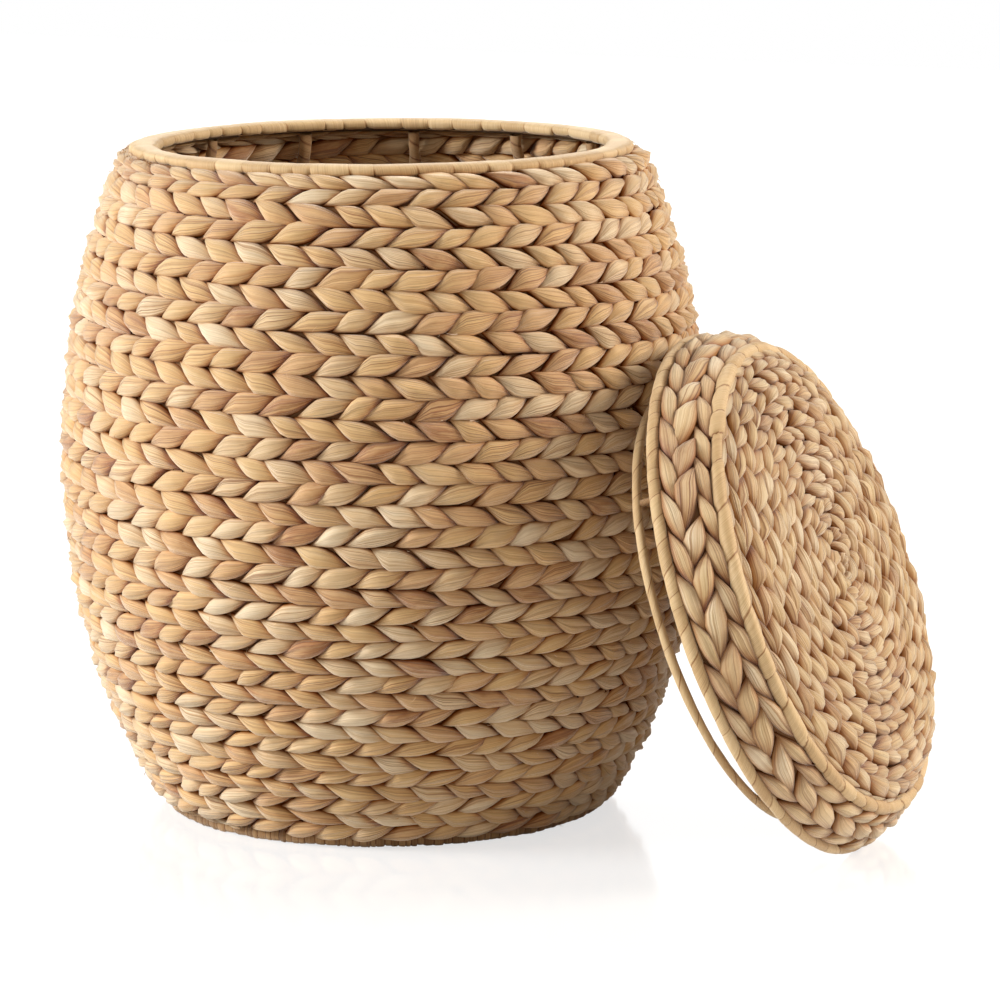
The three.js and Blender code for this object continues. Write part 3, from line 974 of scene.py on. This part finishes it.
for i in range(STAKE_COUNT):
    name = f"stake_{i + 1:02d}"
    add(
        f"{name}_wrap",
        wrapped(
            *stake_path(i * 2 * math.pi / STAKE_COUNT),
            half_side=STAKE_WIDTH / 2,
            half_up=STAKE_DEPTH / 2,
            wrap_width=0.011,
            bulge=0.10,
            skew=1,
            square=2.4,
            around=10,
            per_wrap=5,
            seam=math.pi / 2,
        ),
        stake_fibre,
        "basket",
        "stake_wrap",
        name,
    )

BASE_LEAF = {"length": 1.65, "rise": 0.0056, "drop": 0.0015}
for label, side, replaced in (("upper", 1, ["base_plait"]), ("lower", -1, [])):
    add_leaves(
        [f"base_plait_{label}"],
        base_course,
        CHEVRON,
        BASE_LEAF,
        (9, 7),
        side,
        plait_fibre,
        "basket",
        "plait",
        *replaced,
    )
add_core("base_plait_core", base_course, rows=3, steps=400, body="basket", slot="plait")

# Lid

TOP_LEAF = {"length": 1.74, "rise": 0.0106, "drop": 0.0038}
for label, steps, side, replaced in (
    ("upper", (13, 11), 1, ["lid_top_plait"]),
    ("lower", (9, 7), -1, []),
):
    add_leaves(
        [f"lid_top_{label}"],
        lid_top_course,
        CHEVRON,
        TOP_LEAF,
        steps,
        side,
        lid_fibre,
        "lid",
        "lid_plait",
        *replaced,
    )
add_core("lid_top_core", lid_top_course, rows=3, steps=900, body="lid", slot="lid_plait")

BAND_COLUMNS = [(0.52, 0.16, 0.0, 0.9), (-0.24, 0.25, 0.5, 1.1), (-0.16, -0.52, 0.1, 0.8)]
BAND_LEAF = {"length": 1.70, "rise": 0.0080, "drop": 0.0028}
for label, side, replaced in (("outer", 1, ["lid_band_plait"]), ("inner", -1, [])):
    add_leaves(
        [f"lid_band_{label}"],
        band_course,
        BAND_COLUMNS,
        BAND_LEAF,
        (14, 9),
        side,
        lid_fibre,
        "lid",
        "lid_plait",
        *replaced,
    )
add_core("lid_band_core", band_course, rows=4, steps=137, body="lid", slot="lid_plait")

for name, radius, height, half, wrap_width, bulge, skew in (
    ("lid_skirt_ring", SKIRT_RADIUS, 0.0, LID_RING_HALF, 0.018, 0.07, 1),
    ("lid_crown_ring", CROWN_RADIUS, BAND_RISE, CROWN_WRAP_HALF, 0.024, 0.24, 0.6),
    ("lid_locating_ring", LOCATING_RADIUS, -LOCATING_DROP, LOCATING_RING_HALF, 0.024, 0.06, 1),
):
    add(
        f"{name}_wrap",
        wrapped(
            *ring_path(radius, height, in_lid),
            half_side=half,
            half_up=half,
            wrap_width=wrap_width,
            bulge=bulge,
            skew=skew,
            square=2.2,
            around=18,
            per_wrap=12,
        ),
        binding_fibre,
        "lid",
        "binding",
        name,
    )


def post_path(angle):
    """Path, side and up functions of a post of the lid, up from the locating ring."""
    bottom = LOCATING_RING_HALF - LOCATING_DROP
    top = BAND_RISE - LID_RING_HALF - FRAME_BAR_HEIGHT

    def centre(share):
        return in_lid(polar(LOCATING_RADIUS, angle + 0 * share, bottom + (top - bottom) * share))

    def side(share):
        further = in_lid(polar(LOCATING_RADIUS + 1, angle + 0 * share, 0))
        return further - in_lid(polar(LOCATING_RADIUS, angle + 0 * share, 0))

    def up(share):
        across = np.array([-math.sin(angle), math.cos(angle), 0.0]) @ lid_array[:3, :3].T
        return np.broadcast_to(across, (len(share), 3))

    return centre, side, up


for i in range(LID_BARS * 2):
    name = f"lid_post_{i + 1}"
    add(
        f"{name}_wrap",
        wrapped(
            *post_path(LID_BAR_TURN + i * math.pi / LID_BARS),
            half_side=POST_RADIUS,
            half_up=POST_RADIUS,
            wrap_width=0.009,
            bulge=0.08,
            skew=1,
            square=2.0,
            around=10,
        ),
        stake_fibre,
        "lid",
        "stake_wrap",
        name,
    )

# Floor, light and camera

FLOOR_HALF = 6
floor_mesh = bpy.data.meshes.new("floor")
corners = [(x * FLOOR_HALF, y * FLOOR_HALF, 0) for x, y in ((-1, -1), (1, -1), (1, 1), (-1, 1))]
floor_mesh.from_pydata(corners, [], [(0, 1, 2, 3)])
floor = bpy.data.objects.new("floor", floor_mesh)
bpy.context.scene.collection.objects.link(floor)

# To the camera the floor is dark but glows, so that it shows white with a faint reflection.
# Other rays find it light.
floor_white, nodes, links, shader = new_material("floor_white")
shader.inputs["Roughness"].default_value = 0.12
shader.inputs["Emission Color"].default_value = (1, 1, 1, 1)
viewed = nodes.new("ShaderNodeLightPath").outputs["Is Camera Ray"]
plain = mix(nodes, links, "MIX", viewed, (0.85, 0.85, 0.85), (0.32, 0.32, 0.32))
links.new(plain, shader.inputs["Base Color"])
lightened = math_node(nodes, links, "MULTIPLY", viewed, 0.68)
links.new(lightened, shader.inputs["Emission Strength"])
floor_mesh.materials.append(floor_white)

# White behind the basket and in reflections, and a dimmer, warmer light on everything else
world = bpy.data.worlds.new("studio")
bpy.context.scene.world = world
world.use_nodes = True
nodes, links = world.node_tree.nodes, world.node_tree.links
background = nodes["Background"]
rays = nodes.new("ShaderNodeLightPath").outputs
seen = math_node(nodes, links, "MAXIMUM", rays["Is Camera Ray"], rays["Is Glossy Ray"])
strength = node(nodes, "ShaderNodeMapRange")
strength.inputs["To Min"].default_value = 0.45
strength.inputs["To Max"].default_value = 1.0
links.new(seen, strength.inputs["Value"])
shown = mix(nodes, links, "MIX", seen, (1.0, 0.94, 0.85), (1.0, 1.0, 1.0))
links.new(shown, background.inputs["Color"])
links.new(strength.outputs["Result"], background.inputs["Strength"])


def area_light(name, place, target, size, power, color):
    light = bpy.data.lights.new(name, "AREA")
    light.color = color
    light.size = size
    light.energy = power
    lamp = bpy.data.objects.new(name, light)
    lamp.location = place
    lamp.rotation_euler = (Vector(target) - Vector(place)).to_track_quat("-Z", "Y").to_euler()
    bpy.context.scene.collection.objects.link(lamp)


# The photograph's camera, as fitted to the basket's rim, belly and foot and to the lid
CAMERA_TURN = math.radians(28.8)
CAMERA_BACK = 3.443
CAMERA_HEIGHT = 0.810
CAMERA_PITCH = math.radians(9.787)
CAMERA_YAW = math.radians(1.364)
CAMERA_ROLL = math.radians(-0.293)
CAMERA_LENS = 175.8


def from_photo(x, y, z):
    """A point given as seen by the photographer: x to the right, y away, z up."""
    return Matrix.Rotation(CAMERA_TURN, 3, "Z") @ Vector((x, y, z))


area_light(
    "left",
    from_photo(-3.0, -0.6, 1.7),
    target=(0, 0, 0.25),
    size=1.3,
    power=152,
    color=(0.94, 0.98, 1.0),
)
area_light(
    "right",
    from_photo(3.0, -0.2, 1.8),
    target=(0.2, 0, 0.2),
    size=1.3,
    power=108,
    color=(1.0, 0.93, 0.83),
)

forward = Vector(
    (
        math.sin(CAMERA_YAW) * math.cos(CAMERA_PITCH),
        math.cos(CAMERA_YAW) * math.cos(CAMERA_PITCH),
        -math.sin(CAMERA_PITCH),
    )
)
level = Vector((math.cos(CAMERA_YAW), -math.sin(CAMERA_YAW), 0))
upright = level.cross(forward)
right = math.cos(CAMERA_ROLL) * level + math.sin(CAMERA_ROLL) * upright
above = -math.sin(CAMERA_ROLL) * level + math.cos(CAMERA_ROLL) * upright
facing = Matrix((right, above, -forward)).transposed()
lens = bpy.data.cameras.new("camera")
lens.lens = CAMERA_LENS
lens.sensor_width = 36
camera = bpy.data.objects.new("camera", lens)
camera.matrix_world = (
    Matrix.Rotation(CAMERA_TURN, 4, "Z")
    @ Matrix.Translation((0, -CAMERA_BACK, CAMERA_HEIGHT))
    @ facing.to_4x4()
)
bpy.context.scene.collection.objects.link(camera)
bpy.context.scene.camera = camera
bpy.context.scene.view_settings.view_transform = "Standard"
